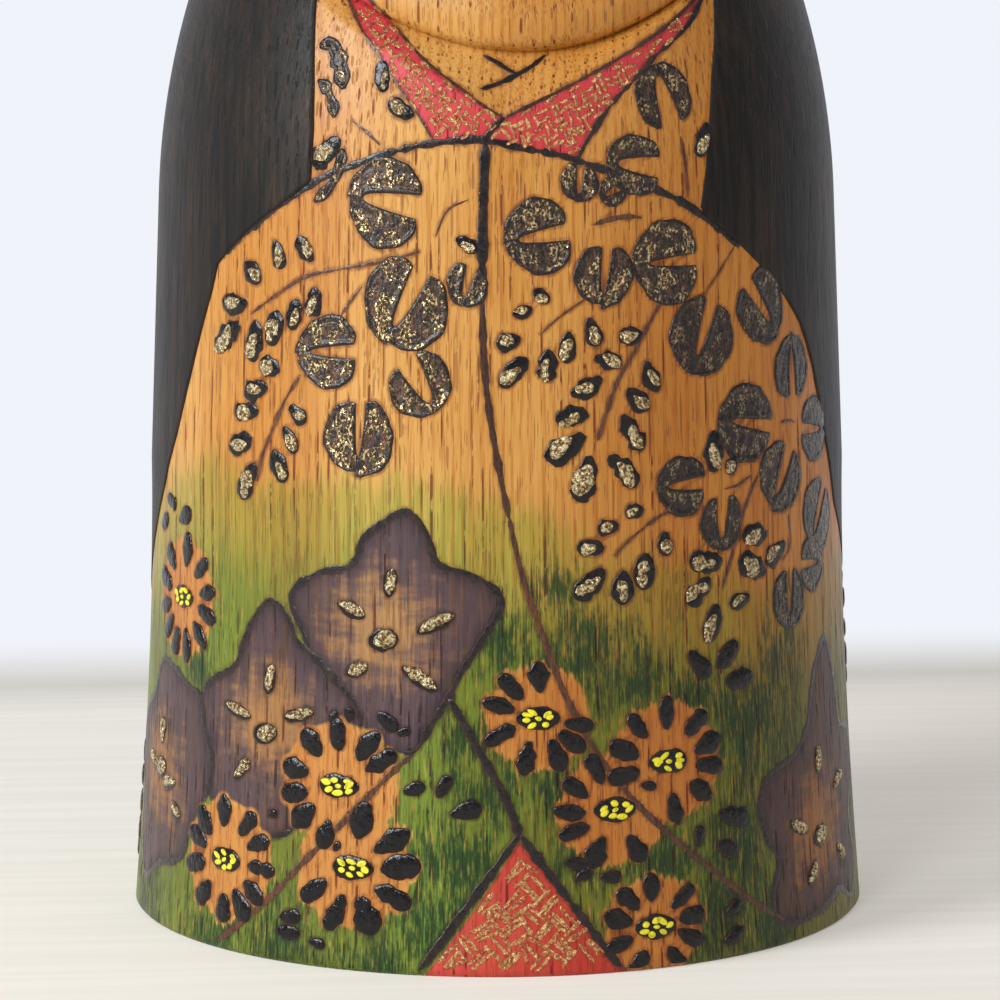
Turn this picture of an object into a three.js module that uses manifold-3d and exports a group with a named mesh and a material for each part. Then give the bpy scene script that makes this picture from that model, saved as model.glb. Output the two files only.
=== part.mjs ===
// Kokeshi doll: a turned wooden body, a turned head whose chin drops into a pocket in the body, and the
// dowel that joins them.  Millimetres, +Z up, the doll looks along -Y, and the foot stands on z = 0.
import * as THREE from "three";
import { mergeVertices } from "three/addons/utils/BufferGeometryUtils.js";
import Module from "manifold-3d";

const wasm = await Module();
wasm.setup();

// Driving dimensions of the turned outline.
const HEIGHT = 148;
const WAIST_RADIUS = 42.2;
const FOOT_FLARE = 2.8; // how far the foot stands out past the waist
const FLARE_TOP = 52; // the foot's flare fades out at this height
const FLARE_POWER = 1.6;
const TAPER_START = 55; // above this the body narrows in a straight taper
const TAPER = 0.04; // radius lost for each millimetre of height
const DOME_START = 87; // above this the outline bends over into the crown

// The foot.
const FOOT_BEVEL = 0.4;
const RIM_RADIUS = 33; // the flat ring that the doll stands on begins here
const FOOT_RECESS = 1; // how far the middle of the foot is turned away

// The joint of head and body.
const SEAT_HEIGHT = 113; // top of the body
const GLUE_GAP = 0.3;
const CHIN_HEIGHT = 103.7; // lowest point of the chin
const CHIN_RADIUS = 33; // the chin's outline, seen from the front, is an arc
const POCKET_BACK = 28; // distance from the axis to the back of the chin
const DOWEL_RADIUS = 6;
const DOWEL_LENGTH = 32;
const BORE_SIDES = 48;

// The carved chin and the hollow under it.
const CHIN_EDGE_DEPTH = 2.4; // how far the chin's lower edge rounds back
const CHIN_EDGE_HEIGHT = 4.5;
const NECK_DEPTH = 2.6; // how deep the neck is cut below the chin
const COLLAR_HEIGHT = 96.4; // the point of the V where the collar's two bands cross
const COLLAR_ANGLE = -3.2 * (Math.PI / 180); // the V stands a little to one side of the front
const COLLAR_SLOPE = 22; // height that each band gains for each radian of turn

const TURNS = 96; // sides of a turned piece
const PLAIN_STEP = 9; // height between rings where the outline is nearly straight
const FINE_STEP = 2; // height between rings round the chin and neck
const CROWN_RINGS = 9;

const WOOD = { color: 0xd9974f, roughness: 0.42, metalness: 0 };
const DOWEL_WOOD = { color: 0xd8b98a, roughness: 0.7, metalness: 0 };

// Radius of the outline at a height, before anything is carved.
function turnedRadius(z) {
  const flare = FOOT_FLARE * Math.max(0, 1 - z / FLARE_TOP) ** FLARE_POWER;
  const taper = TAPER * Math.max(0, z - TAPER_START);
  const rise = Math.min(1, Math.max(0, (z - DOME_START) / (HEIGHT - DOME_START)));
  return (WAIST_RADIUS + flare - taper) * Math.sqrt(1 - rise * rise);
}

// Height of the chin's outline at a distance from the middle plane.
function chinHeight(x) {
  const inside = Math.max(0, CHIN_RADIUS ** 2 - x * x);
  return CHIN_HEIGHT + CHIN_RADIUS - Math.sqrt(inside);
}

// How deep the crease under the chin is at a side angle: 1 in the middle, 0 where it runs out at the seat.
function creaseShare(angle, chin) {
  if (Math.abs(angle) > Math.PI / 2) return 0;
  return Math.sqrt(Math.max(0, (SEAT_HEIGHT - chin) / (SEAT_HEIGHT - CHIN_HEIGHT)));
}

// Depth of the hollow between the collar's V and the chin, deepest right under the chin.
function neckDepth(angle, z) {
  const chin = chinHeight(turnedRadius(z) * Math.sin(angle));
  const collar = COLLAR_HEIGHT + COLLAR_SLOPE * Math.abs(angle - COLLAR_ANGLE);
  const share = Math.min(1, Math.max(0, (z - collar) / Math.max(FINE_STEP, chin - collar)));
  return NECK_DEPTH * creaseShare(angle, chin) * share;
}

// Depth by which the chin's lower edge rounds back.
function chinEdgeDepth(angle, z) {
  const chin = chinHeight(turnedRadius(z) * Math.sin(angle));
  const left = 1 - Math.min(1, Math.max(0, (z - chin) / CHIN_EDGE_HEIGHT));
  return CHIN_EDGE_DEPTH * creaseShare(angle, chin) * (1 - Math.sqrt(1 - left * left));
}

// A closed turned solid from the rings' radii and heights, bottom to top, with its skin cut in by a depth.
function turned(rings, depthAt) {
  const points = rings.map(([radius, z]) => new THREE.Vector2(radius, z));
  const geometry = new THREE.LatheGeometry(points, TURNS);
  geometry.rotateX(Math.PI / 2);
  const position = geometry.getAttribute("position");
  for (let i = 0; i < position.count; i += 1) {
    const x = position.getX(i);
    const y = position.getY(i);
    const z = position.getZ(i);
    const radius = Math.hypot(x, y);
    if (radius < turnedRadius(z) / 2) continue; // points near the axis are not on the skin
    const keep = 1 - depthAt(Math.atan2(x, -y), z) / radius;
    position.setXY(i, x * keep, y * keep);
  }
  return geometry;
}

// Rings of the turned outline from one height up to, but not at, another.
function outline(from, to, step) {
  const count = Math.ceil((to - from) / step);
  return Array.from({ length: count }, (_, i) => {
    const z = from + ((to - from) * i) / count;
    return [turnedRadius(z), z];
  });
}

// Rings of the crown, closer together towards its top, which lies on the axis.
function crownOutline(from) {
  return Array.from({ length: CROWN_RINGS + 1 }, (_, i) => {
    const z = from + (HEIGHT - from) * Math.sin((i / CROWN_RINGS) * (Math.PI / 2));
    return [i === CROWN_RINGS ? 0 : turnedRadius(z), z];
  });
}

function solid(geometry) {
  const bare = new THREE.BufferGeometry();
  bare.setAttribute("position", geometry.getAttribute("position"));
  bare.setIndex(geometry.getIndex());
  const merged = mergeVertices(bare, 1e-4);
  return new wasm.Manifold(
    new wasm.Mesh({
      numProp: 3,
      vertProperties: merged.getAttribute("position").array,
      triVerts: new Uint32Array(merged.getIndex().array),
    }),
  );
}

function meshOf(name, shape, finish) {
  const { numProp, vertProperties, triVerts } = shape.getMesh();
  if (numProp !== 3) throw new Error("a solid carries positions only");
  const geometry = new THREE.BufferGeometry();
  geometry.setAttribute("position", new THREE.BufferAttribute(vertProperties, 3));
  geometry.setIndex(new THREE.BufferAttribute(triVerts, 1));
  geometry.computeVertexNormals();
  const mesh = new THREE.Mesh(geometry, new THREE.MeshStandardMaterial(finish));
  mesh.name = name;
  return mesh;
}

// An upright cylinder on the doll's axis, between two heights.
function post(radius, from, to) {
  const geometry = new THREE.CylinderGeometry(radius, radius, to - from, BORE_SIDES);
  geometry.rotateX(Math.PI / 2);
  geometry.translate(0, 0, (from + to) / 2);
  return solid(geometry);
}

// The block that the chin fills: a cylinder lying along Y, from behind the chin to out in front of it.
function chinBlock(clearance) {
  const front = WAIST_RADIUS + POCKET_BACK;
  const back = POCKET_BACK - clearance;
  const radius = CHIN_RADIUS + clearance;
  const geometry = new THREE.CylinderGeometry(radius, radius, front - back, TURNS);
  geometry.translate(0, -(front + back) / 2, CHIN_HEIGHT + CHIN_RADIUS);
  return solid(geometry);
}

function makeBody() {
  const foot = [
    [0, FOOT_RECESS],
    [RIM_RADIUS - 2 * FOOT_RECESS, FOOT_RECESS],
    [RIM_RADIUS, 0],
    [turnedRadius(0) - FOOT_BEVEL, 0],
  ];
  const rings = [
    ...foot,
    ...outline(FOOT_BEVEL, DOME_START, PLAIN_STEP),
    ...outline(DOME_START, SEAT_HEIGHT, FINE_STEP),
    [turnedRadius(SEAT_HEIGHT), SEAT_HEIGHT],
    [0, SEAT_HEIGHT],
  ];
  const blank = solid(turned(rings, neckDepth));
  const bore = post(DOWEL_RADIUS + GLUE_GAP, SEAT_HEIGHT - DOWEL_LENGTH / 2 - GLUE_GAP, HEIGHT);
  return meshOf("body", blank.subtract(chinBlock(GLUE_GAP)).subtract(bore), WOOD);
}

function makeHead() {
  const lowest = CHIN_HEIGHT - FINE_STEP;
  const crownStart = SEAT_HEIGHT + CHIN_EDGE_HEIGHT;
  const rings = [[0, lowest], ...outline(lowest, crownStart, FINE_STEP), ...crownOutline(crownStart)];
  const blank = solid(turned(rings, chinEdgeDepth));
  const crown = post(2 * WAIST_RADIUS, SEAT_HEIGHT + GLUE_GAP, HEIGHT + FINE_STEP);
  const bore = post(DOWEL_RADIUS + GLUE_GAP, lowest - FINE_STEP, SEAT_HEIGHT + DOWEL_LENGTH / 2 + GLUE_GAP);
  return meshOf("head", blank.intersect(crown.add(chinBlock(0))).subtract(bore), WOOD);
}

function makeNeckDowel() {
  const half = DOWEL_LENGTH / 2;
  return meshOf("neck_dowel", post(DOWEL_RADIUS, SEAT_HEIGHT - half, SEAT_HEIGHT + half), DOWEL_WOOD);
}

const kokeshi = new THREE.Group();
kokeshi.add(makeBody(), makeHead(), makeNeckDowel());

export default kokeshi;
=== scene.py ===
"""The looks of a turned and painted kokeshi doll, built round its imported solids.

Lengths are in millimetres until a mesh is made.  A place on the doll's skin is (s, z): z is the
height, and s is the distance round the doll from the middle of its front, at the reference radius,
positive to a viewer's right.
"""
import math

import bpy
import numpy as np
from mathutils import Matrix, Vector
from mathutils.kdtree import KDTree


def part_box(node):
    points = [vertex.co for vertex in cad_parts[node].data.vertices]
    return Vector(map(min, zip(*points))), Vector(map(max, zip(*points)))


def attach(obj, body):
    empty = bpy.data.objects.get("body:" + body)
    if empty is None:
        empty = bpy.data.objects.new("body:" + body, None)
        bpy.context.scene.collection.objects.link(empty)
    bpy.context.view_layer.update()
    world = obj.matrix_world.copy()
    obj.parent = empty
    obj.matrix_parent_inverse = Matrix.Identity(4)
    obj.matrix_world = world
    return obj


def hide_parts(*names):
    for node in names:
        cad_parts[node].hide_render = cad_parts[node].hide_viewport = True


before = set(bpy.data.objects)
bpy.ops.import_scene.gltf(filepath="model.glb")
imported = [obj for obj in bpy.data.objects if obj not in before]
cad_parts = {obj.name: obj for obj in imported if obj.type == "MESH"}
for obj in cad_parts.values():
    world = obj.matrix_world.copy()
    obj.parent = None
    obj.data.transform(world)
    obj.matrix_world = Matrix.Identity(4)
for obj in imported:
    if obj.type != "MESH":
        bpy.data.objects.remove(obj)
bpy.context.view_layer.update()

MM = 0.001


# ---- the carved outline

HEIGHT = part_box("head")[1].z / MM
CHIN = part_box("head")[0].z / MM
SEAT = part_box("body")[1].z / MM
R_REF = 42.5  # the radius at which s is measured

# The turned outline and the carving, as the CAD has them.
WAIST_RADIUS = 42.2
FOOT_FLARE = 2.8
FLARE_TOP = 52.0
FLARE_POWER = 1.6
TAPER_START = 55.0
TAPER = 0.04
DOME_START = 87.0
RIM_RADIUS = 33.0
FOOT_RECESS = 1.0
FOOT_BEVEL = 0.4
CHIN_RADIUS = 33.0
CHIN_EDGE_DEPTH = 2.4
CHIN_EDGE_HEIGHT = 4.5
NECK_DEPTH = 2.6
COLLAR_POINT = (-2.4, 96.4)  # where the inner edges of the collar's bands cross
COLLAR_SLOPE = 0.52  # height that those edges gain per millimetre sideways


def turned_radius(z):
    """Radius of the turned outline at a height, before anything is carved."""
    flare = FOOT_FLARE * np.clip(1 - z / FLARE_TOP, 0, None) ** FLARE_POWER
    taper = TAPER * np.clip(z - TAPER_START, 0, None)
    rise = np.clip((z - DOME_START) / (HEIGHT - DOME_START), 0, 1)
    return (WAIST_RADIUS + flare - taper) * np.sqrt(1 - rise * rise)


def chin_height(s, z):
    """Height of the chin's outline straight above or below a place."""
    x = turned_radius(z) * np.sin(s / R_REF)
    return CHIN + CHIN_RADIUS - np.sqrt(np.clip(CHIN_RADIUS**2 - x * x, 0, None))


def crease_share(s, chin):
    """How deep the crease under the chin is: 1 in the middle, 0 where it runs out at the seat."""
    share = np.sqrt(np.clip((SEAT - chin) / (SEAT - CHIN), 0, 1))
    return np.where(np.abs(s) < R_REF * math.pi / 2, share, 0.0)


def neck_depth(s, z):
    """Depth of the hollow between the collar and the chin."""
    chin = chin_height(s, z)
    collar = COLLAR_POINT[1] + COLLAR_SLOPE * np.abs(s - COLLAR_POINT[0])
    share = np.clip((z - collar) / np.maximum(2.0, chin - collar), 0, 1)
    return NECK_DEPTH * crease_share(s, chin) * share


def chin_edge_depth(s, z):
    """Depth by which the chin's lower edge rounds back."""
    chin = chin_height(s, z)
    left = 1 - np.clip((z - chin) / CHIN_EDGE_HEIGHT, 0, 1)
    return CHIN_EDGE_DEPTH * crease_share(s, chin) * (1 - np.sqrt(np.clip(1 - left * left, 0, 1)))


def skin_radius(s, z):
    """Radius of the finished wood, carving and all."""
    on_chin = z >= chin_height(s, z) - 0.01
    return turned_radius(z) - np.where(on_chin, chin_edge_depth(s, z), neck_depth(s, z))


def above_foot(z):
    """Heights, squeezed where they come near the foot so that nothing painted runs past its edge."""
    near = np.exp((np.minimum(z, 1) - 1) / (1 - FOOT_BEVEL))
    return np.where(z < 1, FOOT_BEVEL + (1 - FOOT_BEVEL) * near, z)


def polar(radius, s, z):
    """Points in metres from a radius, a distance round the doll and a height."""
    angle = s / R_REF
    return np.stack(np.broadcast_arrays(radius * np.sin(angle), -radius * np.cos(angle), z), -1) * MM


def on_skin(s, z, lift=0.0):
    """Points in metres that stand out from the wood by lift."""
    return polar(skin_radius(s, z) + lift, s, z)


# ---- paths on the skin

STEP = 0.45  # spacing of the points of a drawn line


def smooth_path(corners, step=STEP, closed=False):
    """A path through given corners, rounded as a Catmull-Rom curve."""
    points = np.array(corners, float)
    if closed:
        padded = np.vstack([points[-1:], points, points[:2]])
    else:
        padded = np.vstack([2 * points[0] - points[1], points, 2 * points[-1] - points[-2]])
    pieces = []
    for a, b, c, d in zip(padded, padded[1:], padded[2:], padded[3:]):
        count = max(2, int(np.linalg.norm(c - b) / step))
        t = np.arange(count)[:, None] / count
        pieces.append(b + 0.5 * t * (c - a + t * (2 * a - 5 * b + 4 * c - d + t * (3 * (b - c) + d - a))))
    return np.vstack(pieces + ([] if closed else [points[-1:]]))


def path_distance(places, path):
    """Distance from each place to a path, both as (s, z)."""
    nearest = np.full(len(places), np.inf)
    for a, b in zip(path, path[1:]):
        along = b - a
        t = np.clip((places - a) @ along / max(along @ along, 1e-9), 0, 1)
        nearest = np.minimum(nearest, np.linalg.norm(places - a - t[:, None] * along, axis=1))
    return nearest


def region_distance(places, outline):
    """Distance to a closed outline, negative inside it."""
    loop = np.vstack([outline, outline[:1]]).astype(float)
    inside = np.zeros(len(places), bool)
    for (s0, z0), (s1, z1) in zip(loop, loop[1:]):
        crosses = (z0 > places[:, 1]) != (z1 > places[:, 1])
        if z1 != z0:
            inside ^= crosses & (places[:, 0] < (s1 - s0) * (places[:, 1] - z0) / (z1 - z0) + s0)
    return np.where(inside, -1, 1) * path_distance(places, loop)


def toward(degrees):
    """Unit step on the skin: 0 is to a viewer's right, 90 is up."""
    return np.array([math.cos(math.radians(degrees)), math.sin(math.radians(degrees))])


# ---- the pattern, place by place

SHOULDER = [
    (-40.6, 80.2), (-36, 83.3), (-32, 85.7), (-28, 88), (-24, 89.9), (-20, 91.3), (-15, 92.8), (-10, 93.7),
    (-5, 94), (0, 93), (4, 92.3), (8, 91.1), (12, 89.7), (16, 88.3), (20, 86.6), (24, 84.2), (28, 81.6)]
FRONT_EDGE = [
    (-4.6, 93.8), (-4.9, 85), (-5, 77), (-4.8, 70), (-4.2, 64), (-3.2, 58), (-2, 52), (-0.9, 47),
    (0.4, 42.5), (2.2, 37.5), (4, 32.5), (6.2, 28), (9, 23.3), (12.5, 19), (16, 15.5), (20, 12), (24, 8.7),
    (28.5, 5.4), (33, 2.6)]
UNDER_EDGE = [(-8.8, 31.6), (-7, 28.6), (-5, 25), (-3.1, 21.6), (-1.7, 18.4), (-0.9, 15.8)]
HEM = [
    (-13, 25), (-15.8, 22.3), (-19, 18.9), (-22.5, 15.2), (-26, 11.6), (-30, 7.4), (-34, 3.9), (-38, 0.9)]

LEFT_BAND = [
    (-26.5, 113), (-24, 110), (-21, 106.6), (-17.6, 103), (-14.4, 99), (-11.9, 95.8), (-10.6, 93.7),
    (-4.7, 94), (-3.8, 95.2), (-2.4, 96.4), (-4.6, 97.6), (-8, 99.9), (-12, 102.6), (-16, 105.9),
    (-19.8, 109.2), (-24, 112.8)]
RIGHT_BAND = [
    (26.8, 111.6), (24.3, 109.6), (20, 107), (15, 104.4), (10, 102), (5, 99.7), (0.5, 97.7), (-2.4, 96.4),
    (-3.8, 95.2), (-4.7, 93.9), (0, 93), (3.2, 92.4), (6.2, 91.9), (7.4, 93.8), (9, 95.9), (11, 98.2),
    (14.3, 101), (17, 103.2), (20, 105), (23, 107.1), (26, 110.2)]
UNDERSKIRT = [
    (-0.9, 15.5), (1.5, 12.2), (4, 8.7), (6.6, 5.4), (9.2, 2.5), (11.6, -1), (-12, -1), (-8.3, 4.2),
    (-5.6, 8), (-3.2, 11.8)]

# A bellflower: its heart, the reach of its petals, and the corners of its outline.
BELLFLOWERS = [
    ((-16.4, 39), 13.0, [
        (-13.7, 52.5), (-11.4, 50.2), (-10.1, 46.8), (-7, 45.7), (-4.3, 44.4), (-2.8, 42.2), (-5, 38.2),
        (-7.4, 34.4), (-8.8, 31.6), (-10.8, 28.4), (-13, 25.2), (-17, 26.5), (-20, 30), (-22.3, 33),
        (-25, 35.4), (-26.8, 38.6), (-28.3, 42.2), (-25, 44.9), (-20.4, 46.2), (-18.9, 49.2),
        (-16.5, 51.2)]),
    ((-31.6, 27.4), 12.5, [
        (-31.2, 41.4), (-28.9, 39.8), (-27.3, 37), (-25, 35.4), (-22.3, 33), (-19.2, 29.3), (-19.5, 24),
        (-25, 17), (-31, 14), (-37, 14.5), (-40.4, 16.8), (-41.5, 20.4), (-40.8, 23.6), (-42.7, 25.4),
        (-43.7, 28.3), (-41, 31.1), (-37, 33.2), (-35.4, 36.5), (-33.4, 39.7)]),
    ((-53.5, 18), 12.5, [
        (-50.5, 31.4), (-46.8, 30), (-43.4, 28.8), (-42.4, 25.4), (-40.6, 22), (-41.2, 18), (-44, 13.5),
        (-46.5, 9), (-52, 7.5), (-58, 4.8), (-61.5, 9), (-63, 15), (-67, 20), (-62, 25), (-58, 27),
        (-54.5, 31.6)]),
    ((41, 12.5), 13.0, [
        (45.5, 34.4), (42.4, 32), (40.7, 28.5), (39.2, 24.5), (36, 21.8), (32.8, 20.9), (30.2, 19.4),
        (29.3, 16.4), (30.4, 12.6), (32.2, 9.8), (31, 6.8), (31.2, 3.4), (35, 2.2), (40.5, 2.6), (46, 4),
        (51, 2.2), (54, 6), (52.5, 12), (57, 17), (55, 22), (50, 23.5), (48.5, 29)])]

# A chrysanthemum: centre, directions of its petals, distance from its centre to their middles, petal size.
CHRYSANTHEMUMS = [
    ((-48.2, 40), (82, 42, 11, -14, -44, -80, -108, -136, -164, 166, 133), 5.8, 1.0),
    ((-21.5, 21), (92, 54, 32, 128, 165, 194, 221, 254), 5.9, 1.0),
    ((-37.3, 10.6), (136, 97, 54, 26, -3, -35, -60, -90, -130, -166, 162), 5.7, 1.0),
    ((-19.6, 11.8), (80, 36, 4, -33, -72, -111, -148), 5.6, 1.14),
    ((1.2, 29.3), (130, 88, 162, 204, 253, 296, 325, 350), 4.7, 0.95),
    ((16.4, 23.6), (130, 90, 46, 15, -11, -42, -82, 164, 192), 5.6, 0.95),
    ((9.8, 18.6), (150, 115, 180, 206, 246, 298), 5.2, 0.95),
    ((14.3, 4.9), (164, 134, 96, 42, 8, -20, -60, -118, -160), 4.6, 0.9),
    ((66, 33), tuple(range(10, 370, 33)), 6.0, 1.0),
    ((-72, 12), tuple(range(0, 360, 33)), 6.0, 1.0),
    ((92, 15), tuple(range(20, 380, 36)), 6.2, 1.0),
    ((-104, 9), tuple(range(5, 365, 36)), 5.8, 1.0)]

# A cleft leaf: centre, radius, the way its cleft opens, the cleft's half width as a share of the radius.
LEAVES = [
    (-16.2, 87.1, 5.0, -9, 0.33), (-13.9, 75.8, 5.2, 62, 0.26), (-23.6, 70.2, 4.2, 2, 0.22),
    (-12.2, 66.9, 3.75, 122, 0.42), (-19.4, 60.8, 4.4, 87, 0.16), (-6.7, 78, 2.5, 74, 0.3),
    (1.6, 83.3, 4.2, 9, 0.27), (9.3, 78.9, 3.6, 83, 0.2), (17.4, 80.2, 4.7, 3, 0.17),
    (22.1, 71.9, 4.7, 69, 0.22), (31.8, 74.6, 4.4, 131, 0.22), (37.8, 67.2, 3.9, -90, 0.2),
    (28.7, 61.4, 4.7, -9, 0.17), (35, 54.9, 4.3, 62, 0.26), (18.9, 54.9, 3.5, 2, 0.24),
    (43, 59.6, 3.9, 175, 0.2), (44.2, 49.4, 4.5, 60, 0.2), (36.4, 40.5, 3.6, 88, 0.2),
    (42, 43.8, 3.4, 178, 0.2), (24.5, 50.4, 3.3, 88, 0.3), (13.4, 91.1, 3.6, -6, 0.36),
    (6.4, 89.3, 2.3, 84, 0.26), (10.5, 88.3, 1.8, 30, 0.3), (17.7, 98.5, 3.9, -75, 0.42)]

# Leaves seen edge on, beside the hair: half width, corners.
CRESCENTS = [
    (0.95, [(-26.3, 104.4), (-24.6, 104.6), (-23.2, 102.6), (-22.3, 99.6)]),
    (0.8, [(-26, 100.6), (-24.6, 99.6), (-23.6, 97.8), (-23.3, 96.4)]),
    (0.8, [(-25.4, 90.6), (-24.6, 92), (-23.4, 93.8)]),
    (0.7, [(-21.9, 93), (-22.3, 91), (-23.4, 88.8), (-25.6, 87)])]

# A leaflet: centre, the way its point lies, length.
LEAFLETS = [
    (-26.8, 81.7, 130, 3.2), (-30.8, 80.9, 110, 3.4), (-34.8, 78.8, 140, 3.4), (-37.9, 75.2, -8, 4.4),
    (-25.6, 75.8, 82, 3.2), (-28.2, 74.2, 82, 3.7), (-31.2, 72.6, 75, 4.3), (-34.4, 71, 75, 4.5),
    (-39.2, 71.3, 38, 5.4), (-31.8, 68.1, -8, 3.4), (-33.9, 65.3, 18, 3.8), (-35.4, 62.8, 8, 4.0),
    (-36.4, 59.2, 22, 4.0), (-34.9, 54.8, 66, 4.8), (-27.5, 63, 150, 2.9), (-28.6, 60, 118, 3.4),
    (-30.1, 56.9, 118, 3.9), (-1.4, 68.2, 55, 4.0), (-2, 71.7, 20, 2.7), (-0.4, 75, 20, 2.3),
    (1.8, 76.7, 150, 2.2), (2.4, 69, 76, 3.6), (4.8, 70.9, 85, 3.5), (7.8, 72.6, 112, 3.4),
    (9.6, 69.4, 165, 3.3), (12.4, 72.2, 0, 2.9), (7, 66.5, 20, 3.7), (5.3, 63.1, 12, 3.9),
    (4.4, 59.8, 30, 4.8), (6.6, 56.2, 72, 5.2), (15, 67.4, 118, 3.4), (13.2, 64.9, 140, 3.6),
    (12.5, 61.2, 125, 4.3), (11.2, 56.9, 125, 4.5), (12.6, 52.4, 10, 2.3), (9.4, 50.7, 10, 2.3),
    (7.3, 48.3, -5, 3.0), (7.2, 44.3, 38, 4.6), (11.2, 43.7, 82, 3.9), (13.9, 45.4, 85, 4.2),
    (16.6, 48.4, 95, 2.6), (22.1, 46.1, -8, 4.4), (21, 42.7, 32, 4.4), (22.8, 38.9, 62, 4.4),
    (27.1, 41.1, 8, 3.2), (29.8, 48.4, 0, 4.2), (29.3, 44.8, -22, 5.0), (33.6, 45.9, 20, 4.2),
    (26, 56.9, 50, 2.6), (23.3, 58.5, 95, 4.8), (-6.7, 82.4, 150, 2.7), (-24.2, 92.6, 45, 4.4),
    (-17.2, 101, 95, 3.3), (-14.7, 97.5, -25, 3.6), (22.8, 93.8, 60, 3.8)]

# Plain black petals on their own: centre, direction, length.
ACCENTS = [
    (20.9, 34.3, -48, 4.2), (25, 35, 42, 4.2), (26.8, 32, 4, 4.4), (-12.6, 21.2, 20, 2.6),
    (-9.3, 21.6, 60, 2.8), (-6.8, 18.9, 18, 3.6), (-27.3, 5.4, 10, 2.8), (-27.5, 3.6, 0, 3.1),
    (-23.7, 2.8, -8, 2.0), (5.3, 12.7, -10, 2.6), (6, 11.4, 30, 1.8), (9.2, 11, 0, 2.4),
    (25.2, 16.3, -14, 4.4), (24.1, 12.7, -28, 3.2), (20.2, 14.6, 80, 2.4), (24.6, 5.8, 30, 2.4),
    (24.5, 2.6, 25, 3.0), (-30.3, 16.9, 20, 1.4), (-22.4, 28.8, 60, 1.6), (-20.4, 29.2, 90, 1.7),
    (-15.8, 28.7, -40, 3.0), (-13.9, 27.6, 20, 1.6), (13.9, 21, -10, 1.9), (-21.6, 14.1, 60, 1.3),
    (-48, 49.6, 25, 3.6), (-52.2, 50.9, -15, 3.2), (-54.8, 48.2, 30, 3.2)]

# Thin stems and strokes: half width, corners.
STEMS = [
    (0.22, [(-35, 74), (-31, 76.3), (-26.5, 78.6), (-21, 79.7), (-16.5, 80.5), (-12.3, 81.6)]),
    (0.3, [(-27.2, 67.4), (-29.4, 64.4), (-31.3, 60.7), (-32.8, 57.6), (-33.4, 55)]),
    (0.16, [(-22.3, 73.7), (-20.9, 75.6), (-19.2, 77.6)]),
    (0.14, [(-10.4, 83.3), (-9, 86.2), (-6.6, 87.4)]),
    (0.2, [(-20.8, 96), (-19, 94.9), (-17.2, 93.4)]),
    (0.28, [(8.3, 60.5), (9.2, 63.2), (10.7, 67), (12.4, 69.6), (14.4, 72.8), (16.4, 75.8), (17.6, 77.4)]),
    (0.14, [(1.6, 72.4), (4, 74.4), (6.8, 76.2)]),
    (0.24, [(10.2, 47.4), (12.4, 49.4), (15.6, 51.5), (17, 52)]),
    (0.24, [(24.4, 42.6), (25.8, 46), (27.3, 49.8), (28.8, 53), (30.3, 55.2)]),
    (0.24, [(24.9, 54.1), (27, 54.4), (29, 55.3)]),
    (0.22, [(19.6, 94.2), (20.1, 91), (20.3, 87.6)]),
    (0.14, [(22.4, 76.4), (25, 79.2), (27.2, 81.6)]),
    (0.3, [(7.9, 84.5), (10, 85.1), (12.4, 85.4), (14, 85.2)]),
    (0.24, [(35, 61), (36.6, 61.1), (38.2, 60.8)]),
    (0.24, [(36.4, 50), (36.8, 46.8), (35, 44.9)])]

# Gold on the bellflowers: centre, direction, length.
BELL_GOLD = [
    (-15.5, 44.6, 82, 3.0), (-20.2, 41.3, -22, 3.4), (-10.2, 40.1, 26, 4.3), (-12, 33.8, -32, 4.4),
    (-19.4, 34.5, 25, 2.5), (-31.1, 32.5, 80, 3.2), (-26.8, 28.8, 14, 3.8), (-36.1, 28.3, -14, 4.2),
    (-35.1, 21.6, 46, 3.2), (-53.3, 23.4, 85, 3.0), (-50.6, 17.5, 10, 3.6), (-56.5, 19.4, -20, 3.4),
    (-48.2, 14.6, -30, 2.6), (36.6, 13.4, -22, 3.6), (41.8, 20.5, 85, 3.0), (48, 17, 20, 3.4),
    (39, 7.4, 50, 3.0), (47.5, 8.4, -40, 3.0)]
BELL_HEARTS = [(-16.4, 37.9), (-31.7, 26), (-53.4, 18.8), (41.4, 11.4)]

# Height of the upper edge of the green wash at places round the doll.
WASH_EDGE = [
    (-133, 20), (-90, 40), (-62, 48), (-55, 52), (-46, 56), (-40, 57.5), (-35, 56), (-28, 54.2),
    (-20, 56.2), (-13, 56), (-7, 54.5), (-2, 52.5), (3, 50.5), (8, 48), (14, 47.4), (20, 45.2), (26, 43.4),
    (32, 42), (40, 42.5), (48, 45), (62, 43), (90, 40), (133.6, 20)]
# Places where the wash was laid on dark: centre, reach.
DEEP_GREEN = [
    ((-3.4, 38), 6), ((-7, 27), 5), ((-4.5, 21), 6), ((-8, 13), 6), ((-9, 5), 8), ((-17, 1), 7),
    ((-28, 2), 7), ((-39, 1), 7), ((-43.5, 32.5), 5), ((-56, 2), 9), ((7, 36), 8), ((3, 44), 4),
    ((13, 33), 5), ((20, 31), 5), ((29, 26), 10), ((25, 14), 8), ((16, 12.5), 5), ((6, 13), 5),
    ((3, 21), 4), ((23, 5), 8), ((30, 2), 7), ((34, 33), 6), ((60, 12), 12), ((-85, 14), 14),
    ((110, 12), 14), ((75, 20), 10), ((-120, 8), 12), ((130, 6), 12)]


# ---- outlines worked out from the pattern

PETAL_LENGTH = 3.8
PETAL_WIDTH = 2.3
PETAL_HALO = 0.1  # bare wood left round a petal
CENTRE_HALO = 1.2  # how far the bare wood reaches past the middles of a flower's petals
FLOWER_REACH = 14.0  # no petal matters farther than this from its flower's centre
WRAP = math.pi * R_REF  # the middle of the doll's back

BELL_OUTLINES = [smooth_path(corners, closed=True) for _, _, corners in BELLFLOWERS]


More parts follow.
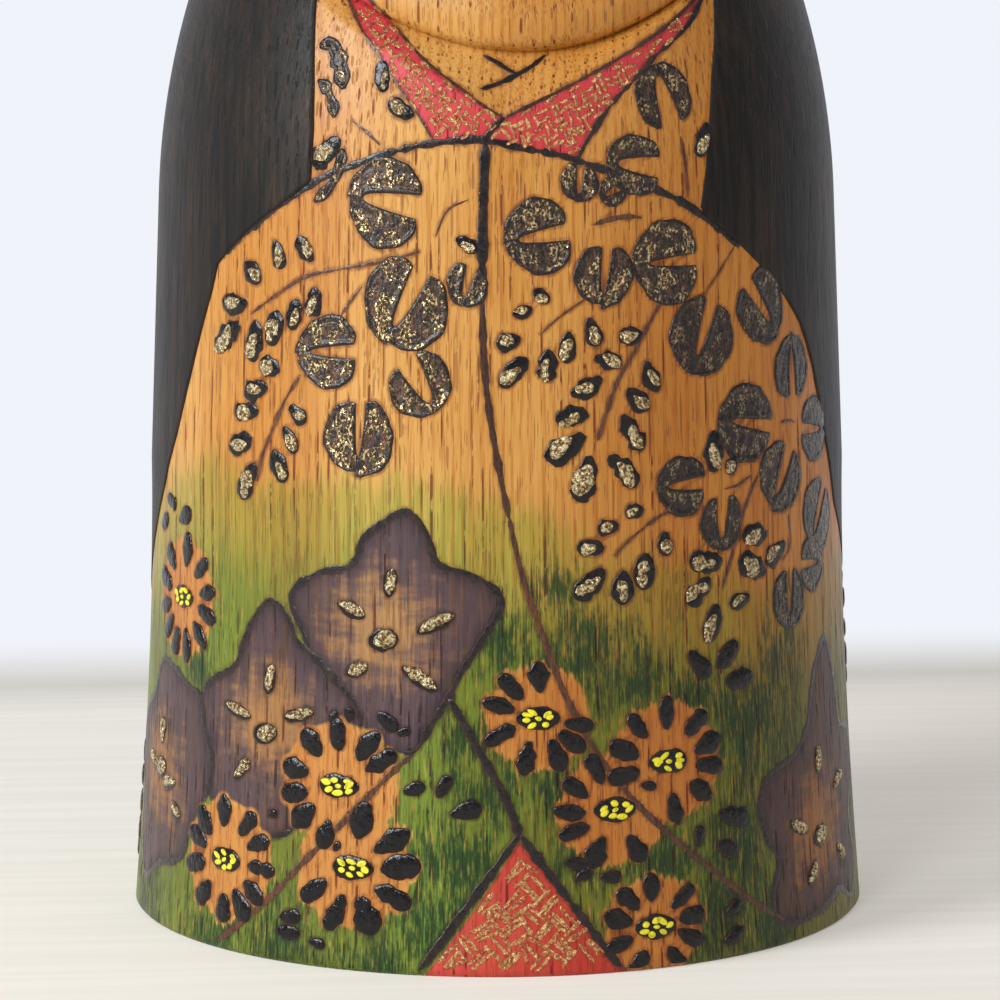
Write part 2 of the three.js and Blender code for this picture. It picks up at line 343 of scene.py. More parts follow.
def petals_of(flower):
    """Middle and direction of each petal of a chrysanthemum."""
    centre, directions, reach, _ = flower
    return [(centre + reach * toward(degrees), degrees) for degrees in directions]


def halo_distance(places):
    """Distance to the bare wood that is left round the chrysanthemums, negative inside it."""
    nearest = np.full(len(places), np.inf)
    for flower in CHRYSANTHEMUMS:
        centre, _, reach, size = flower
        near = np.linalg.norm(places - centre, axis=1)
        nearest = np.minimum(nearest, near - reach - CENTRE_HALO)
        close = near < FLOWER_REACH
        for middle, degrees in petals_of(flower):
            half = 0.5 * size * (PETAL_LENGTH - PETAL_WIDTH) * toward(degrees)
            away = path_distance(places[close], np.array([middle - half, middle + half]))
            nearest[close] = np.minimum(nearest[close], away - size * PETAL_WIDTH / 2 - PETAL_HALO)
    return nearest


# ---- raised strokes

ACROSS = np.sin(np.linspace(-math.pi / 2, math.pi / 2, 9))  # a cross-section's points, from edge to edge
UNDERSIDE = [0.9, 0.1]  # its two points under the wood's skin, as shares of its width
SINK = 0.12  # how far that underside lies in the wood
PRESSURE = (0.45, 1.6)  # least and most that an uneven hand makes of a stroke's width
SHORTEST_RUN = 4  # a stretch of a line with no more points than this isn't drawn
# How far each paint stands out from the wood where it is thickest.
LINE_CROWN = 0.07
LEAF_CROWN = 0.15
PETAL_CROWN = 0.26
CENTRE_CROWN = 0.2
ACCENT_CROWN = 0.24
LEAFLET_CROWN = 0.18
GOLD_CROWN = 0.16
BELL_GOLD_CROWN = 0.34
DOT_CROWN = 0.12
SHADOW_CROWN = 0.04  # the black that shows beside the gold on a bellflower


def add_object(name, data):
    """A new object in the scene."""
    thing = bpy.data.objects.new(name, data)
    bpy.context.scene.collection.objects.link(thing)
    return thing


def mesh_object(name, points, faces):
    mesh = bpy.data.meshes.new(name)
    mesh.from_pydata(np.asarray(points).tolist(), [], faces)
    mesh.shade_smooth()
    return add_object(name, mesh)


def give(piece, name, values):
    """Stores one number for each vertex, for the piece's material to read."""
    attribute = piece.data.attributes.new(name, "FLOAT", "POINT")
    attribute.data.foreach_set("value", np.asarray(values, np.float32))


def dress(piece, slot, material, *nodes):
    """Gives a piece its material and its place on the doll; its slot is not used."""
    piece.data.materials.append(material)
    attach(piece, "root")
    if nodes:
        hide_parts(*nodes)


def grid_faces(index):
    """Faces between the rows of a grid whose rows close on themselves."""
    beside = np.roll(index, -1, axis=1)
    return np.stack([index[:-1], beside[:-1], beside[1:], index[1:]], -1).reshape(-1, 4).tolist()


class Relief:
    """Strokes gathered into one mesh.  Each is closed: a domed top, and an underside sunk in the wood."""

    def __init__(self, name, seed):
        self.name = name
        self.rng = np.random.default_rng(seed)
        self.count = 0
        self.points = []
        self.faces = []
        self.depths = []
        self.kinds = []
        self.outline = []

    def patch(self, one, other, crown, base=0.0, kind=0.0):
        """Adds a low dome between two edges that run the same way."""
        along = np.gradient((one + other) / 2, axis=0)
        across = other - one
        if np.sum(along[:, 0] * across[:, 1] - along[:, 1] * across[:, 0]) > 0:
            one, other, across = other, one, -across
        half = np.linalg.norm(across, axis=1) / 2
        shares = np.concatenate([(1 + ACROSS) / 2, UNDERSIDE])
        places = one[:, None] + across[:, None] * shares[:, None]
        dome = np.sqrt(half / half.max())[:, None] * np.sqrt(1 - np.abs(ACROSS) ** 3)
        lift = np.concatenate([base + crown * dome, np.full((len(one), 2), -SINK)], axis=1)
        index = self.count + np.arange(lift.size).reshape(lift.shape)
        self.count += lift.size
        self.points.append(on_skin(places[..., 0], above_foot(places[..., 1]), lift).reshape(-1, 3))
        self.faces += grid_faces(index) + [index[0][::-1].tolist(), index[-1].tolist()]
        self.depths.append((half[:, None] * (1 - np.abs(2 * shares - 1))).reshape(-1))
        self.kinds.append(np.full(lift.size, kind))
        self.outline += [one, other]

    def stroke(self, path, half_width, crown, base=0.0, kind=0.0):
        """Adds a stroke along a path, with its half width at each point."""
        along = np.gradient(path, axis=0)
        along /= np.maximum(np.linalg.norm(along, axis=1), 1e-9)[:, None]
        side = np.stack([along[:, 1], -along[:, 0]], 1) * half_width[:, None]
        self.patch(path - side, path + side, crown, base, kind)

    def hand(self, path, amount, spacing):
        """Factors round 1 that change along a path, like the pressure of a hand."""
        along = np.concatenate([[0], np.cumsum(np.linalg.norm(np.diff(path, axis=0), axis=1))]) / spacing
        knot = np.floor(along).astype(int)
        ease = (along - knot) ** 2 * (3 - 2 * (along - knot))
        values = self.rng.normal(0, amount, knot[-1] + 2)
        return np.clip(1 + values[knot] * (1 - ease) + values[knot + 1] * ease, *PRESSURE)

    def drop(self, centre, degrees, length, width, crown, peak=0.62, bend=0.0, base=0.0, uneven=0.08):
        """Adds one touch of the brush: narrow where it starts, round where it ends, widest at peak."""
        t = (1 - np.cos(np.linspace(0, math.pi, 15))) / 2
        forward = toward(degrees)
        sideways = np.array([-forward[1], forward[0]])
        path = centre + np.outer((t - 0.5) * length, forward)
        path += np.outer(bend * length * (4 * t * (1 - t) - 0.5), sideways)
        start = np.sin(math.pi / 2 * np.clip(t / peak, 0.03, 1)) ** 0.45
        end = np.sqrt(np.clip(1 - ((t - peak) / (1 - peak)) ** 2, 0.004, 1))
        shape = np.where(t < peak, start, end) * self.hand(path, uneven, 0.7)
        self.stroke(path, width / 2 * shape, crown, base)

    def line(self, corners, half_width, crown, uneven=0.2, kind=0.0):
        """Adds a drawn line through corners."""
        path = smooth_path(corners)
        steps = np.arange(len(path))
        ends = np.sqrt(np.clip((np.minimum(steps, len(path) - 1 - steps) + 0.3) / 2.5, 0, 1))
        self.stroke(path, half_width * ends * self.hand(path, uneven, 0.8), crown, kind=kind)

    def finish(self, slot, material):
        """Makes the piece, and returns the outlines of its strokes."""
        piece = mesh_object(self.name, np.concatenate(self.points), self.faces)
        give(piece, "depth", np.concatenate(self.depths))
        give(piece, "kind", np.concatenate(self.kinds))
        dress(piece, slot, material)
        return np.concatenate(self.outline)


def runs(path, covered):
    """The stretches of a path that aren't covered."""
    start = None
    for i, hidden in enumerate(list(covered) + [True]):
        if not hidden and start is None:
            start = i
        if hidden and start is not None:
            if i - start > SHORTEST_RUN:
                yield path[start:i]
            start = None


STEM = 1.0  # the kind of a stroke that is only lightly burned


def make_burned_lines(material):
    """The dress's edges, the collar, the bellflowers' outlines and the stems."""
    relief = Relief("burned_lines", seed=3)
    relief.line(SHOULDER, 0.42, LINE_CROWN, uneven=0.25)
    relief.line(FRONT_EDGE[:3], 0.56, 0.12, uneven=0.15)
    relief.line(FRONT_EDGE[2:7], 0.38, 0.05, kind=0.4)
    relief.line(FRONT_EDGE[6:], 0.34, 0.03, kind=0.8)
    relief.line(UNDER_EDGE, 0.46, LINE_CROWN)
    relief.line(HEM, 0.32, 0.03, uneven=0.3, kind=0.9)
    for side in (-1, 1):
        opening = [(-0.9 + side * t * 11, 16.2 - 15.7 * t) for t in np.linspace(0, 1, 7)]
        relief.line(opening, 0.46, LINE_CROWN)
    relief.line(LEFT_BAND[1:7], 0.16, 0.03, kind=STEM)
    relief.line(LEFT_BAND[9:], 0.18, 0.04, kind=0.6)
    relief.line(RIGHT_BAND[:8], 0.2, 0.05, uneven=0.3, kind=0.3)
    relief.line(RIGHT_BAND[7:10], 0.36, LINE_CROWN)
    relief.line(RIGHT_BAND[12:], 0.27, 0.06, uneven=0.4)
    relief.line([(-5, 103.3), (-3.2, 102.5), (-1.6, 101.6), (-0.5, 101.2)], 0.24, 0.05)
    relief.line([(3.2, 103.4), (1.4, 102.2), (-0.6, 101.2), (-3, 100.2), (-5.4, 99.5)], 0.26, 0.05,
                uneven=0.35)
    for number, outline in enumerate(BELL_OUTLINES):
        outline = np.vstack([outline, outline[:4]])
        covered = halo_distance(outline) < 0.2
        for later in BELL_OUTLINES[number + 1 :]:
            covered |= region_distance(outline, later) < 0.5
        for stretch in runs(outline, covered):
            relief.line(stretch[::2], 0.38, 0.03, uneven=0.25)
    for half_width, corners in STEMS:
        relief.line(corners, half_width * 0.85, 0.02, uneven=0.3, kind=STEM)
    return relief.finish("burned_line", material)


def cleft_leaf(relief, centre, radius, opening, cleft):
    """Two lobes, joined at the leaf's back and parted by a cleft that is rounded at its inner end.

    A leaf's kind is how much gold it carries: less on the low leaves to the right.
    """
    even = np.linspace(0, 1, 56)
    t = 0.5 * even + 0.25 * (1 - np.cos(math.pi * even))
    gold = relief.rng.uniform(0.5, 1.0) * (1.0 if centre[0] < 12 or centre[1] > 76 else 0.4)
    turn = np.array([toward(opening), toward(opening + 90)])
    inner_end = -(0.4 + 0.6 * cleft) * radius
    for side in (-1, 1):
        angle = math.pi - (math.pi - math.asin(cleft)) * t
        phases = relief.rng.uniform(0, 2 * math.pi, 4)
        waves = sum(0.06 / n**0.7 * np.sin(n * angle + phase) for n, phase in zip((2, 3, 7, 12), phases))
        reach = radius * (1 + waves) * (1 - 0.16 * np.exp(-(angle - angle[-1]) / 0.16))
        outer = np.stack([reach * np.cos(angle), side * reach * np.sin(angle)], 1)
        x = outer[0, 0] + (outer[-1, 0] - outer[0, 0]) * t
        opened = np.clip((x - inner_end) / (x[-1] - inner_end), 0, 1) ** 0.42
        inner = np.stack([x, np.where(opened > 0, opened * outer[-1, 1], -side * 0.04 * radius)], 1)
        relief.patch(centre + inner @ turn, centre + outer @ turn, LEAF_CROWN, kind=gold)


def make_leaves(material):
    """The cleft leaves, and the leaves seen edge on."""
    relief = Relief("painted_leaves", seed=5)
    for s, z, radius, opening, cleft in LEAVES:
        cleft_leaf(relief, (s, z), radius, opening, cleft)
    for half_width, corners in CRESCENTS:
        relief.line(corners, half_width, LEAF_CROWN, kind=0.6)
    return relief.finish("black_relief_paint", material)


def leaflet_width(length):
    """Width of a leaflet's black."""
    return 0.44 * length + 0.7


def make_black_touches(material):
    """Everything painted in thick plain black: petals, leaflets, flower centres and accents."""
    relief = Relief("black_touches", seed=7)
    vary = relief.rng.uniform
    for flower in CHRYSANTHEMUMS:
        centre, _, _, size = flower
        for middle, degrees in petals_of(flower):
            relief.drop(middle, degrees + vary(-7, 7), PETAL_LENGTH * size * vary(0.9, 1.12),
                        PETAL_WIDTH * size * vary(0.85, 1.15), PETAL_CROWN, bend=vary(-0.08, 0.08),
                        uneven=0.13)
        relief.drop(centre, 180 * (centre[0] < -15), 4.9, 2.9, CENTRE_CROWN, peak=0.56)
    for s, z, degrees, length in ACCENTS:
        relief.drop((s, z), degrees, length, length * 0.5 + 0.3, ACCENT_CROWN)
    for s, z, degrees, length in LEAFLETS:
        relief.drop((s, z), degrees + 180 + vary(-8, 8), length * vary(0.95, 1.1), leaflet_width(length),
                    LEAFLET_CROWN, bend=vary(-0.12, 0.12), uneven=0.15)
    for s, z, degrees, length in BELL_GOLD:
        relief.drop((s - 0.12, z - 0.16), degrees, length + 0.4, 1.75, SHADOW_CROWN, peak=0.5)
    for heart in BELL_HEARTS:
        relief.drop(heart, 192, 3.6, 2.6, 0.1, peak=0.5)
    return relief.finish("black_relief_paint", material)


def make_gold_touches(material):
    """Thick gold on the leaflets, on the bellflowers' petals and on their hearts."""
    relief = Relief("gold_touches", seed=11)
    vary = relief.rng.uniform
    for s, z, degrees, length in LEAFLETS:
        middle = (s, z) - 0.1 * length * toward(degrees) + relief.rng.normal(0, 0.12, 2)
        width = leaflet_width(length) * vary(0.48, 0.72)
        relief.drop(middle, degrees + 180 + vary(-22, 22), length * vary(0.58, 0.8), width, GOLD_CROWN,
                    peak=0.52, base=0.12, bend=vary(-0.2, 0.2), uneven=0.22)
    for s, z, degrees, length in BELL_GOLD:
        relief.drop((s, z), degrees, length, 1.3, BELL_GOLD_CROWN, peak=0.5, bend=vary(-0.1, 0.1),
                    uneven=0.16)
    for s, z in BELL_HEARTS:
        relief.drop((s + 0.25, z + 0.1), 15, 2.8, 2.1, 0.4, peak=0.5)
    return relief.finish("gold_paint", material)


def make_yellow_dots(material):
    """Seven dots in a ring and one in its middle, on each chrysanthemum's black centre."""
    relief = Relief("yellow_dots", seed=13)
    vary = relief.rng.uniform
    for centre, _, _, _ in CHRYSANTHEMUMS:
        for number in range(7):
            ring = np.array([1.65, 0.85]) * toward(360 / 7 * number + vary(-16, 16)) * vary(0.8, 1.08)
            relief.drop(centre + ring, vary(-40, 40), vary(0.8, 1.4), vary(0.6, 0.85), DOT_CROWN,
                        peak=0.5, base=0.16)
        relief.drop(centre, vary(-30, 30), 0.8, 0.55, DOT_CROWN, peak=0.5, base=CENTRE_CROWN)
    return relief.finish("yellow_paint", material)


def weave(relief, outline, cell, angle, width, dashes):
    """Fills an outline with groups of dashes that run two ways by turns, as in basket weave."""
    outline = np.array(outline, float)
    middle = outline.mean(0)
    reach = int(np.ptp(outline, axis=0).max() / cell) + 1
    for row in range(-reach, reach + 1):
        for column in range(-reach, reach + 1):
            turn = angle + 90 * ((row + column) % 2)
            place = middle + cell * (column * toward(angle) + row * toward(angle + 90))
            for dash in range(dashes):
                offset = cell * ((dash + 0.5) / dashes - 0.5)
                centre = place + offset * toward(turn + 90) + relief.rng.normal(0, 0.05 * cell, 2)
                degrees = turn + relief.rng.normal(0, 8)
                length = cell * relief.rng.uniform(1.0, 1.2)
                steps = np.linspace(-0.5, 0.5, 6)
                path = centre + np.outer(steps * length, toward(degrees))
                bow = relief.rng.uniform(-0.09, 0.09) * length * (1 - 4 * steps**2)
                path += np.outer(bow, toward(degrees + 90))
                if (region_distance(path, outline) < 0).all() and path[:, 1].min() > width:
                    relief.line(path, width / 2 * relief.rng.uniform(0.85, 1.2), LINE_CROWN, uneven=0.15)


def make_brocade(material):
    """Gold threads on the underskirt and on the collar's two bands."""
    relief = Relief("gold_brocade", seed=17)
    weave(relief, UNDERSKIRT, cell=2.4, angle=-48, width=0.5, dashes=3)
    weave(relief, RIGHT_BAND, cell=1.55, angle=24, width=0.42, dashes=2)
    weave(relief, LEFT_BAND, cell=1.6, angle=-40, width=0.46, dashes=2)
    return relief.finish("gold_paint", material)


def make_face(line_material, lip_material):
    """A calm, plain face: brows, lowered eyes, a short nose line and a small mouth."""
    relief = Relief("face_lines", seed=19)
    brow = [(5.2, 127.2), (8.5, 128.4), (12, 128.2), (15, 126.9)]
    lashes = [(5, 120.6), (8, 119.4), (11.4, 119.3), (14.6, 120.8)]
    eyelid = [(6, 122), (9, 122.5), (12.5, 122.1)]
    for side in (-1, 1):
        for corners, half_width, crown in ((brow, 0.3, 0.05), (lashes, 0.34, 0.06), (eyelid, 0.14, 0.04)):
            relief.line([(side * s, z) for s, z in corners], half_width, crown)
    relief.line([(-0.9, 117.6), (-1.5, 115.2), (-0.4, 114.4), (0.9, 114.7)], 0.18, 0.04)
    drawn = relief.finish("burned_line", line_material)
    lips = Relief("lips", seed=23)
    for side in (-1, 1):
        lips.drop((side * 1.1, 111.4), 90 - side * 78, 2.7, 1.15, 0.1, peak=0.5, bend=-side * 0.08)
    lips.drop((0, 110.4), 0, 3.2, 1.1, 0.12, peak=0.5, bend=-0.06)
    lips.finish("red_paint", lip_material)
    return drawn


# ---- the wood's mesh

FRONT_REACH = 75.0  # the part of the skin, to each side, that has the finer grid
FRONT_STEP = 0.42
BACK_STEP = 1.3
BODY_ROWS = 190
HEAD_ROWS = 120
CORE_RADIUS = 27.5  # inside this the joint between body and head is flat
CROWN_SINK = 0.2  # how far the wood's top lies under the hair's coat
SEAT_STEP = 1.0  # width of the step from the chin's pocket up to the seat
RECESS_SLOPE = 2.0  # width of the slope round the recess in the foot


def skin_columns():
    """Distances round the doll of the grid's columns, once round from the middle of the back."""
    front = np.linspace(-FRONT_REACH, FRONT_REACH, round(2 * FRONT_REACH / FRONT_STEP) + 1)
    back = np.linspace(FRONT_REACH, WRAP, round((WRAP - FRONT_REACH) / BACK_STEP) + 1)[1:]
    return np.concatenate([-back[::-1][1:], front, back])


def seam_height(s):
    """Height of the seam between body and head: the chin's outline, or the seat."""
    height = np.full(len(s), CHIN)
    for _ in range(4):  # the outline's height depends on itself, and settles at once
        height = chin_height(s, height)
    return np.where(np.abs(s) < WRAP / 2, np.minimum(height, SEAT), SEAT)


def ring_mesh(name, rings, top):
    """A closed mesh from rings of equal length, bottom to top, that ends in a point at the top."""
    rings = np.array(rings)
    count, around = rings.shape[:2]
    index = np.arange(count * around).reshape(count, around)
    low, high = index.size, index.size + 1
    faces = grid_faces(index)
    faces += [[low, b, a] for a, b in zip(index[0], np.roll(index[0], -1))]
    faces += [[high, a, b] for a, b in zip(index[-1], np.roll(index[-1], -1))]
    return mesh_object(name, np.vstack([rings.reshape(-1, 3), rings[0].mean(0), top]), faces)


def skin_place(piece):
    """The (s, z) of each vertex."""
    points = np.empty(len(piece.data.vertices) * 3, np.float32)
    piece.data.vertices.foreach_get("co", points)
    x, y, z = points.reshape(-1, 3).T / MM
    return np.stack([np.arctan2(x, -y) * R_REF, z], -1)


def nearest_distance(places, marks):
    """Distance from each place to the nearest of many marks."""
    tree = KDTree(len(marks))
    for number, (s, z) in enumerate(marks):
        tree.insert((s, z, 0), number)
    tree.balance()
    return [tree.find((s, z, 0))[2] for s, z in places]


def nearest_share(places, marks):
    """Distance from each place to the nearest mark, as a share of that mark's reach."""
    return np.min([np.linalg.norm(places - centre, axis=1) / reach for centre, reach in marks], axis=0)


def paint_fields(piece, burned):
    """Stores on the wood how far each vertex is from the edges of the painted and burned parts."""
    places = skin_place(piece)
    s, z = places.T
    give(piece, "wash", np.interp(s, *np.array(WASH_EDGE).T) - z)
    give(piece, "deep", 1 - np.clip(nearest_share(places, DEEP_GREEN), 0, 1.5))
    give(piece, "halo", halo_distance(places))
    give(piece, "heart", nearest_share(places, [flower[:2] for flower in BELLFLOWERS]))
    parts = {"bell": BELL_OUTLINES, "collar": [LEFT_BAND, RIGHT_BAND], "underskirt": [UNDERSKIRT]}
    for name, outlines in parts.items():
        give(piece, name, np.min([region_distance(places, outline) for outline in outlines], axis=0))
    give(piece, "scorch", nearest_distance(places, burned))


def make_body_wood(burned):
    """The body from the recess under its foot up to the seat, with the chin's pocket."""
    s = skin_columns()
    top = seam_height(s)
    rings = [polar(RIM_RADIUS - RECESS_SLOPE, s, FOOT_RECESS), polar(RIM_RADIUS, s, 0.0),
             polar(turned_radius(0.0) - FOOT_BEVEL, s, 0.0)]
    rings += [on_skin(s, FOOT_BEVEL + (top - FOOT_BEVEL) * t) for t in np.linspace(0, 1, BODY_ROWS)]
    rings += [polar(CORE_RADIUS, s, top), polar(CORE_RADIUS - SEAT_STEP, s, SEAT)]
    piece = ring_mesh("body_wood", rings, (0, 0, SEAT * MM))
    paint_fields(piece, burned)
    return piece


def make_head_wood(burned):
    """The head from the seat and the chin up to the crown."""
    s = skin_columns()
    low = seam_height(s)
    rings = [polar(CORE_RADIUS - SEAT_STEP, s, SEAT), polar(CORE_RADIUS, s, low)]
    crown = np.sin(np.linspace(0, math.pi / 2, HEAD_ROWS, endpoint=False))
    for t in crown:
        z = low + (HEIGHT - low) * t
        rings.append(polar(skin_radius(s, z), s, z - CROWN_SINK * t**6))
    piece = ring_mesh("head_wood", rings, (0, 0, (HEIGHT - CROWN_SINK) * MM))
    paint_fields(piece, burned)
    return piece


# ---- the hair

HAIR_LIFT = 0.1
HAIR_COLUMNS = 210
HAIR_STEP = 0.8
ARCH_ROWS = 18  # rows beside the face's arch
HAIR_CROWN_ROWS = 30
FACE_MIDDLE = 116.0  # above this height the hairline is half an ellipse
FACE_TOP = 133.0
FACE_REACH = 28.0
HAIR_END = 14.0
# The hair's edge on each side: height, distance round the doll.
LEFT_HAIR = [
    (HAIR_END, -WRAP), (16, -119), (20, -103), (26, -88), (34, -74), (42, -64), (47, -59.4), (52.7, -54.6),
    (59.3, -50.3), (66, -47), (72.7, -44), (76.5, -42.2), (79.4, -41.2), (80.6, -39.8), (83.3, -36),
    (85.7, -32), (88, -28), (89.2, -26.1), (95, -26), (100, -26.4), (105, -27.1), (110, -27.8),
    (FACE_MIDDLE, -FACE_REACH)]
RIGHT_HAIR = [
    (HAIR_END, WRAP), (16, 119), (20, 103), (26, 88), (32, 76), (38, 66), (44, 57), (50, 50.6), (58, 46.7),
    (63, 44.6), (67, 43), (70, 41.3), (72.3, 39.8), (75.5, 36.5), (78.8, 32.4), (81.9, 28), (83.9, 25),
    (85.3, 22.6), (86.3, 22.1), (90, 22.9), (96, 24), (101, 25.1), (105, 26.4), (109.5, 27.6),
    (FACE_MIDDLE, FACE_REACH)]


def hair_rows():
    """Heights of the hair's grid rows, and the hair's edge on the left and on the right at each."""
    arch = np.linspace(0, math.pi / 2, ARCH_ROWS)
    corners = [z for z, _ in LEFT_HAIR + RIGHT_HAIR]
    lower = np.unique(np.round(np.concatenate([np.arange(HAIR_END, FACE_MIDDLE, HAIR_STEP), corners]), 1))
    face = FACE_MIDDLE + (FACE_TOP - FACE_MIDDLE) * np.sin(arch)
    crown = FACE_TOP + (HEIGHT - FACE_TOP) * np.sin(np.linspace(0, math.pi / 2, HAIR_CROWN_ROWS))
    left = np.interp(lower, *np.array(LEFT_HAIR).T)
    right = np.interp(lower, *np.array(RIGHT_HAIR).T)
    reach = FACE_REACH * np.cos(arch)[1:]
    bare = np.zeros(len(crown) - 1)
    heights = np.concatenate([lower, face[1:], crown[1:]])
    return heights, np.concatenate([left, -reach, bare]), np.concatenate([right, reach, bare])


def make_hair():
    """The stained hair: a thin coat over the wood that ends sharply at the face, collar and sleeves."""
    heights, left, right = hair_rows()
    share = np.linspace(0, 1, HAIR_COLUMNS)
    s = right[:, None] + (left + 2 * WRAP - right)[:, None] * share
    z = np.broadcast_to(heights[:, None], s.shape)
    points = np.concatenate([on_skin(s, z, lift).reshape(-1, 3) for lift in (HAIR_LIFT, -HAIR_LIFT)])
    index = np.arange(s.size).reshape(s.shape)
    outer = np.stack([index[:-1, :-1], index[:-1, 1:], index[1:, 1:], index[1:, :-1]], -1).reshape(-1, 4)
    faces = outer.tolist() + (outer[:, ::-1] + s.size).tolist()
    open_rows = np.count_nonzero(right > 1e-6)  # above them the hair closes over the crown
    for column, flip in ((0, False), (-1, True)):
        edge = index[: open_rows + 1, column]
        for a, b in zip(edge, edge[1:]):
            face = [a, b, b + s.size, a + s.size]
            faces.append(face[::-1] if flip else face)
    return mesh_object("hair_coat", points, faces)


# ---- materials

def tone(red, green, blue):
    """A colour given as it looks on a screen, each part from 0 to 255."""
    parts = [part / 255 for part in (red, green, blue)]
    return tuple(p / 12.92 if p <= 0.04045 else ((p + 0.055) / 1.055) ** 2.4 for p in parts) + (1.0,)


class Tree:
    """A node tree written as short calls."""

    def __init__(self, owner):
        owner.use_nodes = True
        self.nodes = owner.node_tree.nodes
        self.links = owner.node_tree.links

    def put(self, socket, value):
        if isinstance(value, bpy.types.NodeSocket):
            self.links.new(value, socket)
        else:
            socket.default_value = value

    def node(self, kind, values, **settings):
        """A new node with the given settings and the values of its first inputs."""
        node = self.nodes.new(kind)
        for name, setting in settings.items():
            setattr(node, name, setting)
        for socket, value in zip(node.inputs, values):
            self.put(socket, value)
        return node

    def calc(self, operation, *values):
        return self.node("ShaderNodeMath", values, operation=operation).outputs[0]

    def vector(self, operation, *values):
        return self.node("ShaderNodeVectorMath", values, operation=operation).outputs[0]

    def product(self, first, *others):
        for value in others:
            first = self.calc("MULTIPLY", first, value)
        return first

    def total(self, first, *others):
        for value in others:
            first = self.calc("ADD", first, value)
        return first

    def coordinates(self, kind):
        return self.nodes.new("ShaderNodeTexCoord").outputs[kind]

    def axes(self, place):
        """The x, y and z of a place."""
        return self.node("ShaderNodeSeparateXYZ", [place]).outputs

    def fade(self, value, start, end, low=0.0, high=1.0, shape="SMOOTHSTEP"):
        """Goes from low to high while value goes from start to end."""
        values = (value, start, end, low, high)
        return self.node("ShaderNodeMapRange", values, interpolation_type=shape).outputs["Result"]

    def mix(self, factor, first, second, blend="MIX"):
        node = self.node("ShaderNodeMix", [factor], data_type="RGBA", blend_type=blend)
        self.put(node.inputs[6], first)  # inputs 6 and 7 and output 2 are the ones for colours
        self.put(node.inputs[7], second)
        return node.outputs[2]


class Look(Tree):
    """A material.  Its places are in millimetres, and its colour is built up coat by coat."""

    def __init__(self, name):
        self.material = bpy.data.materials.new(name)
        super().__init__(self.material)
        self.surface = self.nodes["Principled BSDF"]
        self.place = self.vector("MULTIPLY", self.coordinates("Object"), (1 / MM,) * 3)

    def scaled(self, kind, scales):
        """A texture node with this many of its swings or cells per millimetre along x, y and z."""
        node = self.node(kind, [self.vector("MULTIPLY", self.place, scales)])
        node.inputs["Scale"].default_value = 1.0
        return node

    def noise(self, scales, detail=3.0, roughness=0.55):
        """Noise from 0 to 1."""
        node = self.scaled("ShaderNodeTexNoise", scales)
        node.inputs["Detail"].default_value = detail
        node.inputs["Roughness"].default_value = roughness
        return node.outputs["Fac"]

    def cells(self, scales):
        """Distance to the nearest of scattered points."""
        return self.scaled("ShaderNodeTexVoronoi", scales).outputs["Distance"]

    def field(self, name):
        """A number stored on the mesh."""
        return self.node("ShaderNodeAttribute", [], attribute_name=name).outputs["Fac"]

    def swing(self, noise, size):
        """Noise turned into a number that swings by size, half below 0 and half above."""
        return self.calc("MULTIPLY_ADD", noise, size, -size / 2)

    def ragged(self, name, *noises):
        """A field that each pair of a noise and a size makes uneven."""
        return self.total(self.field(name), *(self.swing(noise, size) for noise, size in noises))

    def coat(self, colour, *shares):
        """Covers what is there with a colour, or with the part of it that the shares leave."""
        self.colour = self.mix(self.product(*shares), self.colour, colour) if shares else colour

    def stain(self, tint, *shares):
        """Lays a see-through stain; tint is the share of red, green and blue that it lets pass."""
        self.colour = self.mix(self.product(*shares), self.colour, tint + (1.0,), blend="MULTIPLY")

    def relief(self, height, depth):
        """Bumps the surface by a height from 0 to 1 that stands for depth millimetres."""
        node = self.nodes.new("ShaderNodeBump")
        node.inputs["Distance"].default_value = depth * MM
        node.inputs["Strength"].default_value = 1.0
        self.put(node.inputs["Height"], height)
        self.put(self.surface.inputs["Normal"], node.outputs["Normal"])

    def finish(self, roughness, metallic=0.0, specular=0.5):
        self.put(self.surface.inputs["Base Color"], self.colour)
        self.put(self.surface.inputs["Roughness"], roughness)
        self.put(self.surface.inputs["Metallic"], metallic)
        self.surface.inputs["Specular IOR Level"].default_value = specular
        return self.material


PITH = 260.0  # how far to the left of the doll's axis the tree's middle lay
RING = 1.25  # thickness of a growth ring

HONEY = tone(207, 157, 85)
AMBER = tone(185, 125, 51)
VIOLET = tone(64, 49, 64)
ROSE = tone(198, 50, 66)
CHAR = tone(24, 19, 21)
SINGED = tone(66, 38, 26)
THIN_BROWN = tone(98, 58, 40)
LEAF_BLACK = tone(17, 14, 18)
PAINT_BLACK = tone(11, 10, 13)
HAIR_BLACK = tone(19, 16, 14)
HAIR_BROWN = tone(66, 46, 31)
# Stains: the share of red, green and blue that each lets pass.
# Painted shade: darker, browner wood on the side away from the window light.
RIGHT_SIDE_SHADE = (0.95, 0.77, 0.44)
TOASTED = (0.88, 0.72, 0.6)
FIBRE_TINT = (0.82, 0.7, 0.54)
EARLY = (0.84, 0.7, 0.52)
PALE_GREEN = (0.6, 0.96, 0.55)
MID_GREEN = (0.38, 0.68, 0.36)
DARK_GREEN = (0.09, 0.24, 0.3)
PURPLE = (0.1, 0.12, 0.68)
DUSK = (0.36, 0.33, 0.42)
RED = (0.9, 0.13, 0.5)
SCORCH = (0.3, 0.16, 0.08)
PORE = (0.3, 0.11, 0.06)
HAIR_SHADE = (0.6, 0.55, 0.5)
HAIR_PORE = (0.35, 0.33, 0.33)


